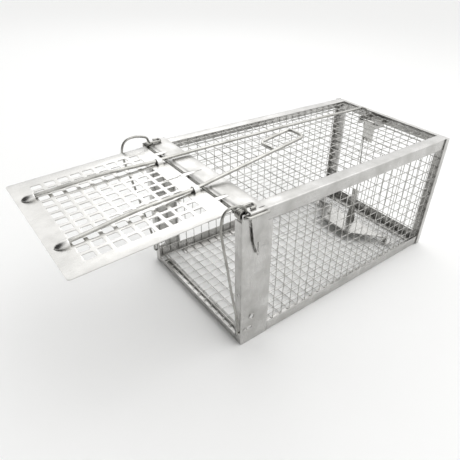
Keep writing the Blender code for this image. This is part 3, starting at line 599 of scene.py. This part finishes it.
def punched_door():
    level = AXLE.z + CURL
    free = AXLE.y - DOOR_LENGTH
    edge = AXLE.y - 3.7 * MM
    field = Vector((HOLES[0] * HOLE_PITCH[0], HOLES[1] * HOLE_PITCH[1], 1))
    field_front = free + FIELD_MARGIN - HOLE_BORDER
    field_rear = field_front + field.y
    idle()
    bpy.ops.mesh.primitive_grid_add(x_subdivisions=HOLES[0], y_subdivisions=HOLES[1], size=1)
    door = bpy.context.object
    for vert in door.data.vertices:
        vert.co = (vert.co.x * field.x, vert.co.y * field.y + (field_front + field_rear) / 2, level)
    mark(door, "FACE", everything)
    bpy.ops.mesh.inset(thickness=HOLE_BORDER, use_individual=True)
    bpy.ops.mesh.delete(type="FACE")
    for s in (-1, 1):
        pull(door, lambda p: near(p.x, s * field.x / 2), (s * (DOOR_HALF - field.x / 2), 0, 0))
    pull(door, lambda p: near(p.y, field_front), (0, free - field_front, 0))
    pull(door, lambda p: near(p.y, field_rear), (0, edge - field_rear, 0))
    for knuckle in KNUCKLES:
        for x in (knuckle - 2 * MM, knuckle + 2 * MM):
            cut_across(door, lambda p: p.y > field_rear, (x, 0, level), (1, 0, 0))
    pull(door, lambda p: near(p.y, edge) and any(abs(p.x - k) < 2 * MM for k in KNUCKLES),
         (0, AXLE.y - edge, 0))
    curl_edge(door, lambda p: near(p.y, AXLE.y) and any(abs(p.x - k) < 2 * MM for k in KNUCKLES), -CURL_TURN)
    inside = (field.x / 2 - 0.1 * MM, field_front + 0.1 * MM, field_rear - 0.1 * MM)
    take(door)
    bpy.ops.object.mode_set(mode="EDIT")
    bpy.ops.mesh.select_mode(type="VERT")
    bpy.ops.mesh.select_all(action="DESELECT")
    shape = bmesh.from_edit_mesh(door.data)
    for vert in shape.verts:
        if vert.is_boundary and abs(vert.co.x) < inside[0] and inside[1] < vert.co.y < inside[2]:
            vert.select_set(True)
    bmesh.update_edit_mesh(door.data)
    bpy.ops.mesh.bevel(affect="VERTICES", offset=0.7 * MM, segments=2)
    mark(door, "VERT", lambda p: near(abs(p.x), DOOR_HALF) and near(p.y, free))
    bpy.ops.mesh.bevel(affect="VERTICES", offset=2.2 * MM, segments=4)
    thicken(door)
    for half, length in ((0.5 * MM, 14.5 * MM), (1.3 * MM, 2.6 * MM)):
        low = (-half, edge - 2 * MM - length, level - 2 * MM)
        combine(door, block(low, (half, edge - 2 * MM, level + 2 * MM)))
    ease(door)
    arches = []
    for s in (-1, 1):
        arches.append(arch(RODS_X + s * ROD_FRONT_X, free + 11.5 * MM, 8.2 * MM, 1.0))
        arches.append(arch(RODS_X + s * ROD_REAR_X, AXLE.y - BRIDGE_REACH + 2 * MM, 4 * MM, 0))
    door = joined("punched_door", [door] + arches)
    door.data.transform(DROOP)
    deliver(door, "door", door_sheet, "door_sheet", "door_panel")


punched_door()


# ---------------------------------------------------------------- wires

def rounded(corners, radius, steps=8):
    """A route through corners, each inner one turned into a bend."""
    corners = [Vector(corner) for corner in corners]
    route = [corners[0]]
    for before, corner, after in zip(corners, corners[1:], corners[2:]):
        back, on = (before - corner), (after - corner)
        half = back.angle(on) / 2
        reach = min(radius / math.tan(half), 0.45 * back.length, 0.45 * on.length)
        start, end = corner + back.normalized() * reach, corner + on.normalized() * reach
        for step in range(steps + 1):
            t = step / steps
            route.append(start * (1 - t) ** 2 + corner * 2 * t * (1 - t) + end * t ** 2)
    return route + [corners[-1]]


def flowing(points, steps=10):
    """A smooth route through the points."""
    points = [Vector(point) for point in points]
    ends = [points[0] * 2 - points[1]] + points + [points[-1] * 2 - points[-2]]
    route = []
    for a, b, c, d in zip(ends, ends[1:], ends[2:], ends[3:]):
        for step in range(steps):
            t = step / steps
            route.append(0.5 * (2 * b + (c - a) * t + (2 * a - 5 * b + 4 * c - d) * t ** 2
                                + (3 * b - a - 3 * c + d) * t ** 3))
    return route + [points[-1]]


def wire(name, route, radius):
    idle()
    bpy.ops.curve.primitive_nurbs_path_add()
    bent = bpy.context.object
    bent.name = name
    bent.data.splines.clear()
    spline = bent.data.splines.new("POLY")
    spline.points.add(len(route) - 1)
    for point, place in zip(spline.points, route):
        point.co = (*place, 1)
    bent.data.bevel_depth = radius
    bent.data.bevel_resolution = 4
    bent.data.use_fill_caps = True
    bpy.ops.object.convert(target="MESH")
    bent = bpy.context.object
    mark(bent, "VERT", everything)
    bpy.ops.mesh.remove_doubles(threshold=0.005 * MM)
    ease(bent, 0.15 * radius, 50)
    return bent


def rod_over_door(s):
    front = AXLE.y - DOOR_LENGTH + 9.5 * MM
    rear = AXLE.y - BRIDGE_REACH + 2 * MM
    route = []
    for step in range(17):
        t = step / 16
        lift = ROD_LIFT + 1.6 * MM * math.sin(math.pi * t) ** 2
        across = RODS_X + s * (ROD_FRONT_X + (ROD_REAR_X - ROD_FRONT_X) * t)
        place = Vector((across, front + (rear - front) * t, AXLE.z + lift))
        route.append(DROOP @ place)
    return route


def trigger_rod():
    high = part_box("trigger_rod")[1]
    over = 120.3 * MM + ROD_RADIUS
    route = rod_over_door(-1)
    beyond = [route[-1], (RODS_X - ROD_REAR_X, AXLE.y + 2 * CURL, over + 0.3 * MM),
              (RODS_X - ROD_REAR_X, 115 * MM, over + ROD_RADIUS), (RODS_X - ROD_REAR_X, high.y, over)]
    rod = wire("door_trigger_rod", route[:-1] + flowing(beyond, 8), ROD_RADIUS)
    deliver(rod, "door", drawn_wire, "rod_wire", "trigger_rod")


def setting_rod():
    route = rod_over_door(1)
    start = route[-1]
    slope, rise = 6 / 94.5, 12 / 104

    def beyond(reach, inward=0.0):
        return Vector((RODS_X + ROD_REAR_X - slope * reach - inward, start.y + reach, start.z + rise * reach))

    far, near_end, width = 104 * MM, 72 * MM, 18 * MM
    corners = [start, beyond(near_end / 2), beyond(far), beyond(far, width), beyond(near_end, width),
               beyond(near_end, 2.2 * ROD_RADIUS)]
    rod = wire("door_setting_rod", route[:-1] + rounded(corners, 5 * MM), ROD_RADIUS)
    deliver(rod, "door", drawn_wire, "rod_wire", "setting_rod")


def hinge_axle():
    low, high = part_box("hinge_axle")
    outer, bend = high.x - AXLE_RADIUS, high.y
    corners = [(-outer, bend, AXLE.z), (-outer, AXLE.y, AXLE.z),
               (outer, AXLE.y, AXLE.z), (outer, bend, AXLE.z)]
    axle = wire("door_axle", rounded(corners, 2.75 * MM), AXLE_RADIUS)
    deliver(axle, "cage", drawn_wire, "rod_wire", "hinge_axle")


def door_spring(side, s):
    spring_x, pitch, coil, turns = 66.6 * MM, 1.95 * MM, 2.4 * MM, 2.75
    inner_x = spring_x - turns * pitch
    outer_x, leg_y, leg_z = inner_x + 5 * MM, AXLE.y + 11 * MM, 121.2 * MM
    tail = [(outer_x, AXLE.y + 6 * MM, leg_z), (outer_x, leg_y, leg_z), (inner_x, leg_y, leg_z),
            (inner_x, AXLE.y + coil, leg_z)]
    route = rounded(tail, 2.5 * MM)
    steps = round(24 * turns)
    for step in range(steps + 1):
        turn = 2 * math.pi * step / 24
        route.append(Vector((inner_x + pitch * step / 24, AXLE.y - coil * math.sin(turn),
                             AXLE.z + coil * math.cos(turn))))
    shape = [(2.4, 3), (0, 7), (-7.5, 9.2), (-14, 7), (-16.8, -1), (-16, -14),
             (-12.5, -37), (-9.5, -59), (-4, -92)]
    spread = 0.0 if s > 0 else 0.25
    bow = []
    for y, z in shape:
        wider = 1 + spread * min(1, 1 + z / 92) if y < 0 else 1
        bow.append((spring_x, AXLE.y + y * wider * MM, AXLE.z + z * MM))
    heel = [bow[-1], (spring_x, -7 * MM, 12 * MM), (spring_x, 0, 12 * MM)]
    route += flowing(bow, 8) + rounded(heel, 2 * MM)[1:]
    spring = wire(side + "_door_spring", [Vector((s * p[0], p[1], p[2])) for p in route], 0.9 * MM)
    deliver(spring, "cage", spring_wire, "spring_wire", "door_spring_" + side)


trigger_rod()
setting_rod()
hinge_axle()
for side, s in SIDES:
    door_spring(side, s)


# ---------------------------------------------------------------- treadle and catch

CARRIED = {
    "treadle_plate": door_sheet,
    "treadle_axle": drawn_wire,
    "treadle_bracket_right": strip_x,
    "treadle_bracket_left": strip_x,
    "bait_hook": drawn_wire,
    "link_wire": drawn_wire,
    "catch_plate": door_sheet,
    "catch_axle": drawn_wire,
    "catch_bracket": strip_x,
    "catch_hook": drawn_wire,
}
for node, finish in CARRIED.items():
    data = frame["nodes"][node].data
    data.materials.clear()
    data.materials.append(finish)


# ---------------------------------------------------------------- floor, light, camera

def plain(name, code, rough):
    finish = bpy.data.materials.new(name)
    finish.use_nodes = True
    shader = finish.node_tree.nodes["Principled BSDF"]
    shader.inputs["Base Color"].default_value = colour(code)
    shader.inputs["Roughness"].default_value = rough
    return finish


idle()
bpy.ops.mesh.primitive_plane_add(size=30, location=(0, 0, -0.3 * MM))
floor = bpy.context.object
floor.name = "floor"
floor.data.materials.append(plain("pale_floor", "F8F8F7", 0.9))

world = bpy.data.worlds.new("studio")
bpy.context.scene.world = world
world.use_nodes = True
sky = world.node_tree
direction = add(sky, "ShaderNodeTexCoord").outputs["Generated"]
parts = add(sky, "ShaderNodeSeparateXYZ", Vector=direction)
ramp = add(sky, "ShaderNodeMapRange", {"From Min": 0.0, "From Max": 0.6, "To Min": 1.12, "To Max": 1.45},
           Value=parts.outputs["Z"])
# The room in front of the doorway is dark: rolled edges and wires turned that way show dark bands.
toward = add(sky, "ShaderNodeVectorMath", {"operation": "DOT_PRODUCT"})
toward.inputs[1].default_value = (0.15, -0.85, 0.5)
sky.links.new(direction, toward.inputs[0])
dim = add(sky, "ShaderNodeMapRange", {"From Min": 0.4, "From Max": 0.75, "To Min": 1.0, "To Max": 0.04},
          Value=toward.outputs["Value"])
strength = add(sky, "ShaderNodeMath", {"operation": "MULTIPLY"})
sky.links.new(ramp.outputs[0], strength.inputs[0])
sky.links.new(dim.outputs[0], strength.inputs[1])
sky.links.new(strength.outputs[0], sky.nodes["Background"].inputs["Strength"])
sky.nodes["Background"].inputs["Color"].default_value = (1, 1, 1, 1)


def softbox(name, place, aim, size, power):
    idle()
    bpy.ops.object.light_add(type="AREA", location=place)
    lamp = bpy.context.object
    lamp.name = name
    lamp.data.size = size
    lamp.data.energy = power
    lamp.rotation_euler = (Vector(aim) - Vector(place)).to_track_quat("-Z", "Y").to_euler()


softbox("softbox_over", (0.3, 0.5, 1.1), (0, 0.1, 0.05), 0.9, 2.5)
softbox("softbox_left", (-0.9, 0.5, 0.8), (0, 0.1, 0.05), 0.7, 1.2)

AZIMUTH, ELEVATION, ROLL = math.radians(47.68), math.radians(35.08), math.radians(3.85)
CAMERA_PLACE = (251.2 * MM, -142.1 * MM, 263.7 * MM)
LENS_MM, SENSOR_MM = 33.6, 36
SHIFT_X, SHIFT_Y = -0.098, 0.019
back = Vector((math.sin(AZIMUTH) * math.cos(ELEVATION), -math.cos(AZIMUTH) * math.cos(ELEVATION),
               math.sin(ELEVATION)))
level_x = Vector((0, 0, 1)).cross(back).normalized()
level_y = back.cross(level_x)
right = level_x * math.cos(ROLL) + level_y * math.sin(ROLL)
upward = level_y * math.cos(ROLL) - level_x * math.sin(ROLL)
idle()
bpy.ops.object.camera_add()
camera = bpy.context.object
camera.matrix_world = Matrix.Translation(CAMERA_PLACE) @ Matrix(
    (right, upward, back)).transposed().to_4x4()
camera.data.sensor_width = SENSOR_MM
camera.data.lens = LENS_MM
camera.data.shift_x = SHIFT_X
camera.data.shift_y = SHIFT_Y
camera.data.clip_start = 0.01
bpy.context.scene.camera = camera
bpy.context.scene.view_settings.view_transform = "Standard"
